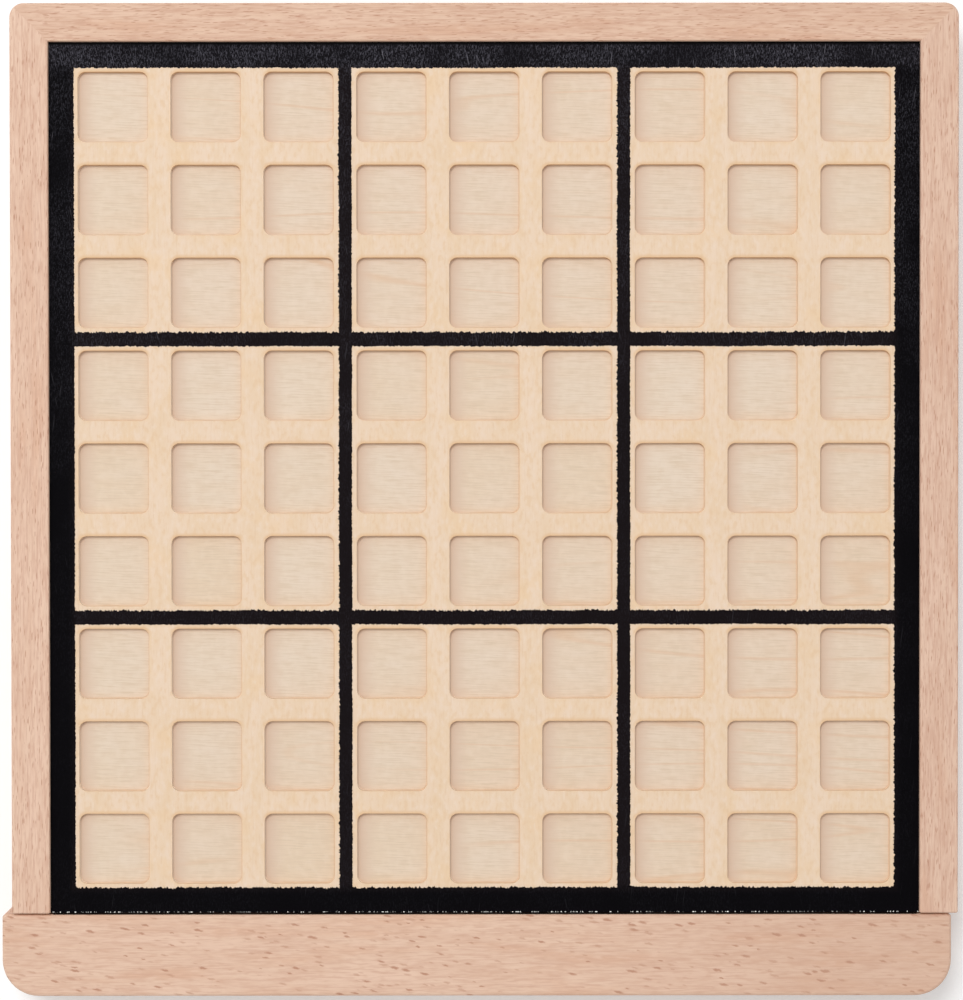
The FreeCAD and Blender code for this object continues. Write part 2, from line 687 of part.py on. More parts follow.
def write(nodes):
    os.makedirs("parts", exist_ok=True)
    for node in nodes:
        node.Shape.exportStep(f"parts/{node.Label}.step")
        print(f"{node.Label}: {len(node.Shape.Solids)} solid(s), {node.Shape.Volume:.0f} mm3")


NODES = build()
check(NODES)
write(NODES)
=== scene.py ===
import math
import random

import bmesh
import bpy
from mathutils import Matrix, Vector, noise


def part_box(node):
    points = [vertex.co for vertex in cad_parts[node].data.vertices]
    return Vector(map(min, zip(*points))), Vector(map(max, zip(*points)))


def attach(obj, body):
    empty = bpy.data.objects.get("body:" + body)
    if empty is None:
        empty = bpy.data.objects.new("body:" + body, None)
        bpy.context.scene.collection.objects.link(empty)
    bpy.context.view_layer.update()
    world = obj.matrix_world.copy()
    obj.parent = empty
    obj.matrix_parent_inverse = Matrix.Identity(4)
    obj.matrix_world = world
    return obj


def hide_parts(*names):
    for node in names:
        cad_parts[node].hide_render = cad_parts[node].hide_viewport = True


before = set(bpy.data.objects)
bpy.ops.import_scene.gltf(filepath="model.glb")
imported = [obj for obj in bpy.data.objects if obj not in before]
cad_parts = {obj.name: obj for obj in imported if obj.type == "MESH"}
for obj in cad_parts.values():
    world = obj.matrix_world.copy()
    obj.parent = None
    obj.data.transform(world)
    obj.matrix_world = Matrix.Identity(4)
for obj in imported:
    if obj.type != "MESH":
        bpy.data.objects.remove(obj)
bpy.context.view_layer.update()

# A wooden sudoku board seen from above: a beech frame round a milled birch plywood board with
# printed black lines, and a drawer under it whose thick beech front shows at the bottom.
# Everything is in metres, in the frame of the CAD model: +X right, +Y to the back rail, +Z up.

MM = 0.001
scene = bpy.context.scene
random.seed(9)


# Sizes that repeat those of the CAD model

RAIL_INNER = 133.3 * MM
BOARD_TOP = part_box("game_board")[1][2]
BOARD_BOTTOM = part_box("game_board")[0][2]
BOARD_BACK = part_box("game_board")[1][1]
BOARD_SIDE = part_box("game_board")[1][0]
INK_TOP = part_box("printed_grid")[1][2]
BACK_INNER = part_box("back_rail")[0][1]
BAR_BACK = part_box("drawer_front")[1][1]
BAR_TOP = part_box("drawer_front")[1][2]
LINE_WIDTH = 4.0 * MM
GRID_SIDE = 251.8 * MM
BLOCK_PITCH = (GRID_SIDE + LINE_WIDTH) / 3
CELLS = 9
CELL_PITCH = BLOCK_PITCH / 3
HALF_FIELD = CELLS * CELL_PITCH / 2
POCKET_SIDE = 21.5 * MM
POCKET_RADIUS = 2.5 * MM
POCKET_DEPTH = 2.0 * MM
TILE_SIDE = 20.0 * MM
TILE_THICKNESS = 5.0 * MM


# Sizes of the finish, which the CAD model leaves plain

BOARD_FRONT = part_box("game_board")[0][1] - 0.5 * MM
RAIL_SANDING = 0.08 * MM
BAR_SANDING = 0.12 * MM
BOX_SANDING = 0.25 * MM
BAR_SET_FORWARD = 0.04 * MM
RIM_ROUND = 0.14 * MM
FOOT_ROUND = 0.14 * MM
WORN_EDGE = 0.3 * MM
TILE_CORNER = 2.2 * MM
TILE_EDGE = 0.5 * MM
TILE_PLAY = 0.8 * MM
TILE_TURN_DEGREES = 3.5
NUMERAL_SIZE = 17 * MM
NUMERAL_STROKE = 0.25 * MM
INK_THICKNESS = 0.02 * MM
PLY_THICKNESS = 1.25 * MM


# The print: its level lines are wider, and its windows are trimmed at their outer edges

LEVEL_LINE_WIDTH = 4.3 * MM
WINDOW_TRIM = 0.3 * MM
PAINT_START = 0.42 * MM
PAINT_SOAK = 0.02 * MM
EDGE_CUTS = 23

# Its edges waver slowly, and their teeth come in four sizes, each with the share that it adds.
# A window's left edge has smaller teeth than its right one, and its front edge larger than its back.
WAVE_LENGTH = 13 * MM
SIDE_WAVE = 0.1 * MM
LEVEL_WAVE = 0.14 * MM
TEETH = ((3.5 * MM, 0.25), (1.5 * MM, 0.25), (0.8 * MM, 0.4), (0.4 * MM, 1.5))
SIDE_TEETH = (0.13 * MM, 0.28 * MM)
LEVEL_TEETH = (0.34 * MM, 0.21 * MM)

# Across the board's border the paint changes its tone, and along the back rail it is painted darker, as the
# rail's shade
BORDER_START = (124 * MM, 128 * MM)
RAIL_SHADE = (BACK_INNER - 1.3 * MM, BACK_INNER - 0.4 * MM)


# Tolerances: points that are one point, points that lie on a line, faces that are one flat face,
# edges that are sharp enough to sand, and those that stay sharp in the shading

MERGE = 0.002 * MM
HAIR = 0.02 * MM
FLAT_DEGREES = 0.5
SANDED_DEGREES = 30
SHARP_DEGREES = 35


# Floor, light and camera, as the photograph has them

FLOOR_SIDE = 8.0
FLOOR_DROP = 0.05 * MM
FLOOR_WHITE = (0.4, 0.85)
SKY_LOW = 0.47
SKY_HIGH = 0.6
CAMERA_PLACE = (-1.49 * MM, 8.17 * MM, 1000 * MM)
CAMERA_TURN_DEGREES = (-0.8743, -0.0332, -0.05)
FOCAL_PIXELS = 3171.1
PHOTO_HEIGHT = 1000
SENSOR_HEIGHT = 36.0


# Work in edit mode


def deselect():
    bpy.ops.object.select_all(action="DESELECT")


def pick(piece):
    """Makes a piece the only one that is selected and active."""
    deselect()
    piece.select_set(True)
    bpy.context.view_layer.objects.active = piece


def edit(piece):
    pick(piece)
    bpy.ops.object.mode_set(mode="EDIT")


def leave_edit():
    bpy.ops.object.mode_set(mode="OBJECT")


def choose(piece, kind, test):
    """In edit mode, selects the EDGE or FACE items that pass a test, and counts them."""
    bpy.ops.mesh.select_mode(type=kind)
    bpy.ops.mesh.select_all(action="DESELECT")
    mesh = bmesh.from_edit_mesh(piece.data)
    items = {"EDGE": mesh.edges, "FACE": mesh.faces}[kind]
    chosen = [item for item in items if test(item)]
    for item in chosen:
        item.select_set(True)
    mesh.select_flush_mode()
    bmesh.update_edit_mesh(piece.data)
    return len(chosen)


def merge_points():
    """In edit mode, makes one point of those that lie on each other."""
    bpy.ops.mesh.select_mode(type="VERT")
    bpy.ops.mesh.select_all(action="SELECT")
    bpy.ops.mesh.remove_doubles(threshold=MERGE)


def push(x=0.0, y=0.0, z=0.0):
    """In edit mode, pulls new faces out of what is selected."""
    bpy.ops.mesh.extrude_region_move(TRANSFORM_OT_translate={"value": (x, y, z)})


def middle(edge):
    return (edge.verts[0].co + edge.verts[1].co) / 2


def lies_at(edge, axis, place):
    """Whether both ends of an edge are at one place along an axis."""
    return all(abs(v.co[axis] - place) < HAIR for v in edge.verts)


def level(edge, height):
    """Whether an edge lies flat at a height."""
    return lies_at(edge, 2, height)


def is_open(edge):
    """Whether an edge has a face on one side only."""
    return len(edge.link_faces) == 1


def settle(piece):
    """Puts a piece's place into its mesh, so that its object sits at the origin."""
    pick(piece)
    bpy.ops.object.transform_apply(location=True, rotation=True, scale=True)


def finish_mesh(piece):
    """Even normals on the flat faces, smooth ones over the rounded edges."""
    pick(piece)
    bpy.ops.object.shade_smooth_by_angle(angle=math.radians(SHARP_DEGREES))
    weighted = piece.modifiers.new("even_normals", "WEIGHTED_NORMAL")
    weighted.keep_sharp = True
    weighted.weight = 90
    bpy.ops.object.modifier_apply(modifier=weighted.name)


def break_edges(piece, width):
    """Rounds a piece's sharp edges, as sandpaper does."""
    pick(piece)
    broken = piece.modifiers.new("broken_edges", "BEVEL")
    broken.width = width
    broken.segments = 2
    broken.limit_method = "ANGLE"
    broken.angle_limit = math.radians(SANDED_DEGREES)
    broken.use_clamp_overlap = True
    bpy.ops.object.modifier_apply(modifier=broken.name)


def sanded_copy(cad_node, name, width):
    """A CAD node's shape as one clean mesh, with its machined edges broken."""
    piece = bpy.data.objects.new(name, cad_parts[cad_node].data.copy())
    piece.data.name = name
    scene.collection.objects.link(piece)
    edit(piece)
    bpy.ops.mesh.select_all(action="SELECT")
    bpy.ops.mesh.customdata_custom_splitnormals_clear()
    merge_points()
    bpy.ops.mesh.dissolve_limited(angle_limit=math.radians(FLAT_DEGREES))
    leave_edit()
    break_edges(piece, width)
    finish_mesh(piece)
    return piece


def dress(piece, material, body, slot, *replaced):
    """Gives a piece its material, its body and the CAD nodes it stands for. Its record slot is not used."""
    if material is not None:
        piece.data.materials.clear()
        piece.data.materials.append(material)
    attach(piece, body)
    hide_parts(*replaced)


# Work on materials. Their sizes are in metres too, and their colours as a screen shows them.


def rgb(red, green, blue):
    """A colour written as it is on a screen, 0 to 255, in the linear values that nodes take."""
    shares = [channel / 255 for channel in (red, green, blue)]
    linear = [c / 12.92 if c <= 0.04045 else ((c + 0.055) / 1.055) ** 2.4 for c in shares]
    return (*linear, 1.0)


def tinted(tone, red, green, blue):
    """A wood's tone made some steps lighter or darker."""
    return rgb(tone[0] + red, tone[1] + green, tone[2] + blue)


def feed(tree, socket, value):
    """Links a value that comes from a node, and sets one that is plain."""
    if isinstance(value, bpy.types.NodeSocket):
        tree.links.new(value, socket)
    else:
        socket.default_value = value


def node(tree, kind, inputs=None, **settings):
    """Adds a node, with its settings, and with values or links for its inputs."""
    made = tree.nodes.new(kind)
    for name, value in settings.items():
        setattr(made, name, value)
    for name, value in (inputs or {}).items():
        feed(tree, made.inputs[name], value)
    return made


def maths(tree, operation, *values, clamp=False):
    inputs = dict(enumerate(values))
    return node(tree, "ShaderNodeMath", inputs, operation=operation, use_clamp=clamp).outputs[0]


def vector_maths(tree, operation, *values):
    inputs = dict(enumerate(values))
    return node(tree, "ShaderNodeVectorMath", inputs, operation=operation).outputs[0]


def vector(tree, x=0.0, y=0.0, z=0.0):
    return node(tree, "ShaderNodeCombineXYZ", {"X": x, "Y": y, "Z": z}).outputs[0]


def split(tree, place):
    return node(tree, "ShaderNodeSeparateXYZ", {"Vector": place}).outputs


def blend(tree, factor, first, second):
    """Goes from a first colour to a second one as a mask goes from 0 to 1."""
    mix = node(tree, "ShaderNodeMix", data_type="RGBA", blend_type="MIX")
    for index, value in ((0, factor), (6, first), (7, second)):
        feed(tree, mix.inputs[index], value)
    return mix.outputs[2]


def ramp(tree, value, low, high, to_low=0.0, to_high=1.0, kind="SMOOTHSTEP"):
    """Maps a value from between low and high to between to_low and to_high."""
    inputs = {"Value": value, "From Min": low, "From Max": high, "To Min": to_low, "To Max": to_high}
    return node(tree, "ShaderNodeMapRange", inputs, interpolation_type=kind).outputs["Result"]


def clouds(tree, place, scale, detail):
    """A soft noise from 0 to 1, mostly near its middle."""
    inputs = {"Vector": place, "Scale": scale, "Detail": detail}
    return node(tree, "ShaderNodeTexNoise", inputs).outputs["Fac"]


def streaks(tree, along, lengthways, across, detail=1.0):
    """A soft noise drawn out along the grain, with so many waves in a metre each way."""
    return clouds(tree, vector_maths(tree, "MULTIPLY", along, (lengthways, across, across)), 1.0, detail)


def mottle(tree, colour, pattern, pale, dark, pale_share, dark_share, gap=0.02):
    """Makes a colour paler where a noise is low and darker where it is high."""
    colour = blend(tree, ramp(tree, pattern, 0.3, 0.5 - gap, pale_share, 0.0), colour, pale)
    return blend(tree, ramp(tree, pattern, 0.5 + gap, 0.7, 0.0, dark_share), colour, dark)


def new_group(name, inputs, outputs):
    """A shader node group, what it is given, and what it puts out, each by name."""
    group = bpy.data.node_groups.new(name, "ShaderNodeTree")
    for label, value in inputs.items():
        kind = "NodeSocketVector" if value is None else "NodeSocketFloat"
        socket = group.interface.new_socket(label, in_out="INPUT", socket_type=kind)
        if value is not None:
            socket.default_value = value
    for label in outputs:
        group.interface.new_socket(label, in_out="OUTPUT", socket_type="NodeSocketFloat")
    return group, group.nodes.new("NodeGroupInput").outputs, group.nodes.new("NodeGroupOutput").inputs


def cell_shape(tree, given):
    """How many lengths and widths fit into a metre."""
    along = maths(tree, "DIVIDE", 1.0, given["Length"])
    across = maths(tree, "DIVIDE", 1.0, given["Width"])
    return vector(tree, along, across, across)


def make_long_grain():
    """Wood fibres along X: fine streaks, and the broad bands of the growth rings."""
    inputs = {"Vector": None, "Length": 20 * MM, "Width": 0.4 * MM, "Waver": 0.5}
    tree, given, result = new_group("long_grain", inputs, ("Fibres", "Bands"))
    slow = clouds(tree, given["Vector"], 22.0, 2.0)
    drift = maths(tree, "MULTIPLY", maths(tree, "SUBTRACT", slow, 0.5), given["Waver"])
    sway = vector(tree, y=maths(tree, "MULTIPLY", drift, 4 * MM))
    swayed = vector_maths(tree, "ADD", given["Vector"], sway)
    scaled = vector_maths(tree, "MULTIPLY", swayed, cell_shape(tree, given))
    inputs = {"Vector": scaled, "Scale": 1.0, "Detail": 3.0, "Roughness": 0.6}
    fibres = node(tree, "ShaderNodeTexNoise", inputs).outputs["Fac"]
    tree.links.new(fibres, result["Fibres"])
    tree.links.new(streaks(tree, scaled, 0.3, 0.09, 2.0), result["Bands"])
    return tree


def make_ray_flecks():
    """Short dark dashes along X, as beech shows: a share of stretched cells holds one each."""
    sizes = {"Length": 6 * MM, "Width": 0.6 * MM, "Share": 0.2, "Slant": 0.0, "Ragged": 0.2 * MM}
    tree, given, result = new_group("ray_flecks", {"Vector": None, **sizes}, ("Flecks",))
    inputs = {"Vector": given["Vector"], "Angle": given["Slant"]}
    slanted = node(tree, "ShaderNodeVectorRotate", inputs, rotation_type="Z_AXIS").outputs[0]
    inputs = {"Vector": slanted, "Scale": 900.0, "Detail": 2.0}
    wobble = node(tree, "ShaderNodeTexNoise", inputs).outputs["Color"]
    spread = vector_maths(tree, "SUBTRACT", wobble, (0.5, 0.5, 0.5))
    small = vector_maths(tree, "MULTIPLY", spread, vector(tree, 1.4 * MM, given["Ragged"]))
    moved = vector_maths(tree, "ADD", slanted, small)
    scaled = vector_maths(tree, "MULTIPLY", moved, cell_shape(tree, given))
    cells = node(tree, "ShaderNodeTexVoronoi", {"Vector": scaled, "Scale": 1.0}).outputs
    chance = node(tree, "ShaderNodeSeparateColor", {"Color": cells["Color"]}).outputs
    reach = ramp(tree, chance["Green"], 0.0, 1.0, 0.14, 0.42, "LINEAR")
    dash = ramp(tree, cells["Distance"], maths(tree, "MULTIPLY", reach, 0.4), reach, 1.0, 0.0)
    held = maths(tree, "LESS_THAN", chance["Red"], given["Share"])
    depth = ramp(tree, chance["Blue"], 0.0, 1.0, 0.5, 1.0, "LINEAR")
    mask = maths(tree, "MULTIPLY", maths(tree, "MULTIPLY", dash, held), depth)
    tree.links.new(mask, result["Flecks"])
    return tree


def make_plies():
    """The layers that a plywood edge shows: every second one is end grain, with thin glue lines."""
    inputs = {"Vector": None, "Ply": PLY_THICKNESS, "Glue": 0.08}
    tree, given, result = new_group("plies", inputs, ("Layer", "Glue line"))
    ripple = maths(tree, "SUBTRACT", clouds(tree, given["Vector"], 60.0, 2.0), 0.5)
    wave = maths(tree, "MULTIPLY", ripple, 0.3 * MM)
    rippled = maths(tree, "ADD", split(tree, given["Vector"])["Z"], wave)
    height = maths(tree, "DIVIDE", rippled, given["Ply"])
    within = maths(tree, "FRACT", height)
    layer = maths(tree, "MODULO", maths(tree, "FLOOR", height), 2.0)
    from_line = maths(tree, "MINIMUM", within, maths(tree, "SUBTRACT", 1.0, within))
    tree.links.new(layer, result["Layer"])
    tree.links.new(ramp(tree, from_line, 0.0, given["Glue"], 1.0, 0.0), result["Glue line"])
    return tree


def in_cell(tree, coordinate):
    """How far a point lies from the middle of its pocket along one axis."""
    return maths(tree, "WRAP", coordinate, CELL_PITCH / 2, -CELL_PITCH / 2)


def make_pocket_rim():
    """How near a point is to its pocket's wall: outside it at the rim, and inside it at the foot."""
    inputs = {"Vector": None, "Reach": 1.5 * MM}
    tree, given, result = new_group("pocket_rim", inputs, ("Rim", "Back rim", "Foot"))
    place = split(tree, given["Vector"])
    core = POCKET_SIDE / 2 - POCKET_RADIUS
    sideways, backwards = (in_cell(tree, place[axis]) for axis in ("X", "Y"))
    squares = []
    for local in (sideways, backwards):
        off = maths(tree, "MAXIMUM", maths(tree, "SUBTRACT", maths(tree, "ABSOLUTE", local), core), 0.0)
        squares.append(maths(tree, "MULTIPLY", off, off))
    away = maths(tree, "SQRT", maths(tree, "ADD", *squares))
    beyond = maths(tree, "SUBTRACT", away, POCKET_RADIUS)
    rim = ramp(tree, beyond, 0.0, given["Reach"], 1.0, 0.0)
    back = ramp(tree, backwards, core, POCKET_SIDE / 2)
    inwards = maths(tree, "MULTIPLY", given["Reach"], -1.0)
    tree.links.new(rim, result["Rim"])
    tree.links.new(maths(tree, "MULTIPLY", rim, back), result["Back rim"])
    tree.links.new(ramp(tree, beyond, inwards, 0.0), result["Foot"])
    return tree


LONG_GRAIN = make_long_grain()
RAY_FLECKS = make_ray_flecks()
PLIES = make_plies()
POCKET_RIM = make_pocket_rim()


def use(tree, group, **inputs):
    """Places a node group, with its inputs written as words."""
    placed = tree.nodes.new("ShaderNodeGroup")
    placed.node_tree = group
    for name, value in inputs.items():
        feed(tree, placed.inputs[name.replace("_", " ").capitalize()], value)
    return placed.outputs


def new_material(name):
    material = bpy.data.materials.new(name)
    material.use_nodes = True
    tree = material.node_tree
    return material, tree, tree.nodes["Principled BSDF"]


ALONG_X = (0, 0, 0)
ALONG_Y = (0, 0, math.radians(-90))
UNMOVED = (0, 0, 0)


def grain_vector(tree, turn=ALONG_X, shift=UNMOVED):
    """Object coordinates as they are, and turned so that the grain runs along X."""
    place = tree.nodes.new("ShaderNodeTexCoord").outputs["Object"]
    inputs = {"Vector": place, "Rotation": turn, "Location": shift}
    return place, node(tree, "ShaderNodeMapping", inputs).outputs[0]


def finish_surface(tree, shader, colour, roughness, relief, depth, strength=0.5, gloss=0.2):
    """Joins a surface's colour, roughness and relief, whose height is so many metres, to its shader."""
    feed(tree, shader.inputs["Base Color"], colour)
    feed(tree, shader.inputs["Roughness"], roughness)
    shader.inputs["Specular IOR Level"].default_value = gloss
    inputs = {"Height": relief, "Distance": depth, "Strength": strength}
    bump = node(tree, "ShaderNodeBump", inputs)
    tree.links.new(bump.outputs["Normal"], shader.inputs["Normal"])


def rubbed_edge(tree, where, patches, share):
    """Painted shade: a black band at the top of the bar's back face between the rails, standing for the shade
    in its gap to the board.
    """
    back = ramp(tree, where["Y"], BAR_BACK - 0.23 * MM, BAR_BACK - 0.18 * MM, 0.0, share)
    height = maths(tree, "ADD", where["Z"], maths(tree, "MULTIPLY", patches, 5 * MM))
    top = ramp(tree, height, BAR_TOP - 1.5 * MM, BAR_TOP + 1 * MM)
    between = ramp(tree, maths(tree, "ABSOLUTE", where["X"]), RAIL_INNER - MM, RAIL_INNER, 1.0, 0.0)
    return maths(tree, "MULTIPLY", maths(tree, "MULTIPLY", back, top), between)


def beech(
    name,
    tone,
    turn=ALONG_X,
    shift=UNMOVED,
    fleck_size=(3.8 * MM, 0.46 * MM),
    fleck_share=0.95,
    fleck_tone=(176, 118, 92),
    fleck_depth=1.0,
    ragged=0.2 * MM,
    slant=0.0,
    fibre_depth=0.8,
    shade_to_right=0.0,
    black_gap_shade=0.0,
):
    """Pale pinkish beech: fine fibres, faint broad bands and dark ray flecks.

    The bar's wood also darkens to the right, a painted shade, and is painted black at the top of its back
    face, as the shade in its gap to the board; an argument sets each.
    """
    material, tree, shader = new_material(name)
    place, along = grain_vector(tree, turn, shift)
    where = split(tree, place)
    grain = use(tree, LONG_GRAIN, vector=along, length=7 * MM, width=0.42 * MM, waver=0.5)
    length, width = fleck_size
    shape = {"length": length, "width": width, "slant": slant, "ragged": ragged}
    flecks = use(tree, RAY_FLECKS, vector=along, share=fleck_share, **shape)["Flecks"]
    patches = streaks(tree, along, 22.0, 170.0, 3.0)
    grit = streaks(tree, along, 240.0, 900.0)
    colour = blend(tree, ramp(tree, grain["Bands"], 0.3, 0.7), tinted(tone, 7, 10, 10), rgb(*tone))
    pale, dark = tinted(tone, 8, 10, 11), tinted(tone, -3, -9, -12)
    colour = mottle(tree, colour, patches, pale, dark, 0.8, 0.8, gap=0.0)
    pale, dark = tinted(tone, 9, 11, 12), tinted(tone, -8, -12, -13)
    colour = mottle(tree, colour, grit, pale, dark, 0.5, 0.5)
    fibres = ramp(tree, grain["Fibres"], 0.42, 0.68, 0.0, fibre_depth)
    colour = blend(tree, fibres, colour, tinted(tone, -15, -21, -20))
    colour = blend(tree, maths(tree, "MULTIPLY", flecks, fleck_depth), colour, rgb(*fleck_tone))
    # Painted shade: the bar's wood darkens towards its right end.
    if shade_to_right:
        colour = blend(tree, ramp(tree, where["X"], 0.0, 140 * MM, 0.0, shade_to_right), colour, rgb(200, 160, 137))
    # Painted shade: black at the top of the bar's back face, where the gap to the board lies in shade.
    if black_gap_shade:
        colour = blend(tree, rubbed_edge(tree, where, patches, black_gap_shade), colour, rgb(14, 11, 13))
    roughness = ramp(tree, grain["Fibres"], 0.3, 0.8, 0.5, 0.62)
    relief = maths(tree, "SUBTRACT", grain["Fibres"], maths(tree, "MULTIPLY", flecks, 0.8))
    finish_surface(tree, shader, colour, roughness, relief, 0.06 * MM, strength=0.6)
    return material


def plain_wood(name, tone, turn, length, width, mixed=0.0):
    """A pale wood with little figure: plywood, drawer parts and tiles. Mixed pieces differ in tone."""
    material, tree, shader = new_material(name)
    place, along = grain_vector(tree, turn)
    grain = use(tree, LONG_GRAIN, vector=along, length=length, width=width, waver=0.8)
    colour = blend(tree, ramp(tree, grain["Bands"], 0.3, 0.72), tinted(tone, 6, 7, 7), rgb(*tone))
    colour = blend(tree, ramp(tree, grain["Fibres"], 0.45, 0.78), colour, tinted(tone, -14, -19, -20))
    piles = ramp(tree, clouds(tree, place, 36.0, 0.0), 0.35, 0.65, 0.0, mixed)
    colour = blend(tree, piles, colour, tinted(tone, -16, -26, -32))
    roughness = ramp(tree, grain["Fibres"], 0.3, 0.8, 0.55, 0.68)
    finish_surface(tree, shader, colour, roughness, grain["Fibres"], 0.05 * MM, strength=0.6)
    return material


def cell_tones(tree, place):
    """A slightly different tone for each pocket, and a slow change over the whole board."""
    centred = vector_maths(tree, "ADD", place, (CELL_PITCH / 2,) * 3)
    cell = vector_maths(tree, "SNAP", centred, (CELL_PITCH,) * 3)
    own = node(tree, "ShaderNodeTexWhiteNoise", {"Vector": cell}).outputs["Value"]
    return own, clouds(tree, centred, 9.0, 1.0)


def pocket_floor(name):
    """A milled pocket's floor: straight fine lines across, each floor of its own tone."""
    material, tree, shader = new_material(name)
    place, along = grain_vector(tree, (0, 0, math.radians(1.5)))
    where = split(tree, place)
    grain = use(tree, LONG_GRAIN, vector=along, length=8 * MM, width=0.4 * MM, waver=0.05)
    own, slow = cell_tones(tree, place)
    backwards = ramp(tree, where["Y"], -130 * MM, 130 * MM, kind="LINEAR")
    tone = maths(tree, "ADD", maths(tree, "MULTIPLY", own, 0.75), maths(tree, "MULTIPLY", backwards, 0.5))
    colour = blend(tree, tone, rgb(230, 207, 180), rgb(232, 214, 194))
    colour = blend(tree, ramp(tree, slow, 0.35, 0.65, 0.0, 0.5), colour, rgb(231, 208, 186))
    slid = vector_maths(tree, "ADD", place, vector_maths(tree, "MULTIPLY", own, (0.9, 0.7, 0.0)))
    figure = streaks(tree, slid, 60.0, 180.0)
    colour = mottle(tree, colour, figure, rgb(236, 220, 204), rgb(226, 199, 170), 0.2, 0.2)
    lines = ramp(tree, grain["Fibres"], 0.42, 0.68, 0.0, 0.62)
    colour = blend(tree, lines, colour, rgb(216, 193, 166))
    grit = clouds(tree, place, 420.0, 1.0)
    colour = mottle(tree, colour, grit, rgb(238, 219, 199), rgb(222, 197, 172), 0.22, 0.22, gap=0.0)
    growth = maths(tree, "MULTIPLY", streaks(tree, along, 4.0, 50.0), 5.0)
    ring = ramp(tree, maths(tree, "PINGPONG", growth, 0.5), 0.0, 0.07, 1.0, 0.0)
    ring = maths(tree, "MULTIPLY", ring, ramp(tree, slow, 0.45, 0.6, 0.0, 0.4))
    colour = blend(tree, ring, colour, rgb(222, 182, 146))
    # Painted shade: a brown line at the foot of every wall but the left one, and a broad darker tone over the
    # floor along the left wall.
    sideways = in_cell(tree, where["X"])
    foot = use(tree, POCKET_RIM, vector=place, reach=0.6 * MM)["Foot"]
    foot_shade = maths(tree, "MULTIPLY", foot, ramp(tree, sideways, -POCKET_SIDE / 2, 0.0, 0.0, 0.5))
    colour = blend(tree, foot_shade, colour, rgb(206, 164, 122))
    shaded = ramp(tree, sideways, -POCKET_SIDE / 2, 7 * MM - POCKET_SIDE / 2, 0.9, 0.0)
    colour = blend(tree, shaded, colour, rgb(219, 193, 172))
    roughness = ramp(tree, grain["Fibres"], 0.3, 0.8, 0.58, 0.7)
    finish_surface(tree, shader, colour, roughness, grain["Fibres"], 0.04 * MM)
    return material


def birch_face(name):
    """The board's top: birch with upright grain, yellower at the rims of the pockets, and darker at their
    back rims, which is painted shade.
    """
    material, tree, shader = new_material(name)
    place, along = grain_vector(tree, ALONG_Y)
    grain = use(tree, LONG_GRAIN, vector=along, length=7 * MM, width=0.5 * MM, waver=1.0)
    rim = use(tree, POCKET_RIM, vector=place, reach=1.4 * MM)
    patches = clouds(tree, place, 70.0, 3.0)
    tufts = streaks(tree, along, 420.0, 760.0, 2.0)
    colour = blend(tree, ramp(tree, grain["Bands"], 0.3, 0.7), rgb(238, 213, 188), rgb(235, 208, 178))
    colour = blend(tree, ramp(tree, grain["Fibres"], 0.5, 0.8, 0.0, 0.7), colour, rgb(226, 195, 163))
    colour = blend(tree, ramp(tree, patches, 0.5, 0.72, 0.0, 0.5), colour, rgb(238, 205, 165))
    colour = mottle(tree, colour, tufts, rgb(240, 218, 198), rgb(231, 199, 163), 0.5, 0.6)
    toned = maths(tree, "MULTIPLY", rim["Rim"], ramp(tree, patches, 0.3, 0.7, 0.25, 0.9))
    colour = blend(tree, maths(tree, "MULTIPLY", toned, 0.45), colour, rgb(237, 206, 170))
    # Painted shade: the back rim of each pocket, whose rounded edge faces away from the light, is darker and
    # browner.
    colour = blend(tree, maths(tree, "MULTIPLY", rim["Back rim"], 0.75), colour, rgb(228, 188, 144))
    finish_surface(tree, shader, colour, 0.62, grain["Fibres"], 0.05 * MM)
    return material


def cut_ply(tree, place, along):
    """What every cut through the plywood shows: its layers, its glue lines and its fibres."""
    layers = use(tree, PLIES, vector=place, ply=PLY_THICKNESS, glue=0.07)
    grain = use(tree, LONG_GRAIN, vector=along, length=4 * MM, width=0.3 * MM, waver=0.5)
    return layers["Layer"], layers["Glue line"], grain["Fibres"]


def pocket_wall(name):
    """A milled pocket's wall: one veneer deep, pale, browner at the back, and painted light on its left side.
    """
    material, tree, shader = new_material(name)
    place, along = grain_vector(tree)
    layer, _, fibres = cut_ply(tree, place, along)
    where = split(tree, place)
    half = POCKET_SIDE / 2
    back = ramp(tree, in_cell(tree, where["Y"]), half - POCKET_RADIUS, half, 0.0, 0.8)
    left = ramp(tree, in_cell(tree, where["X"]), -half, POCKET_RADIUS - half, 0.9, 0.0)
    colour = blend(tree, layer, rgb(240, 214, 186), rgb(234, 206, 176))
    colour = blend(tree, ramp(tree, fibres, 0.4, 0.75, 0.0, 0.5), colour, rgb(220, 188, 156))
    # Painted light: the left wall, which faces away from the lamps, is made nearly white.
    colour = blend(tree, left, colour, rgb(254, 238, 218))
    colour = blend(tree, back, colour, rgb(214, 166, 118))
    finish_surface(tree, shader, colour, 0.75, fibres, 0.05 * MM)
    return material


def ply_colour(tree, place, along):
    """The colours of a cut plywood edge, and its fibres."""
    layer, glue_line, fibres = cut_ply(tree, place, along)
    colour = blend(tree, layer, rgb(226, 194, 160), rgb(212, 175, 139))
    colour = blend(tree, ramp(tree, fibres, 0.4, 0.75, 0.0, 0.6), colour, rgb(190, 151, 116))
    colour = blend(tree, maths(tree, "MULTIPLY", glue_line, 0.4), colour, rgb(150, 108, 76))
    return colour, fibres


def ply_edge(name):
    """A cut edge of birch plywood."""
    material, tree, shader = new_material(name)
    colour, fibres = ply_colour(tree, *grain_vector(tree))
    finish_surface(tree, shader, colour, 0.75, fibres, 0.08 * MM, strength=0.6, gloss=0.5)
    return material


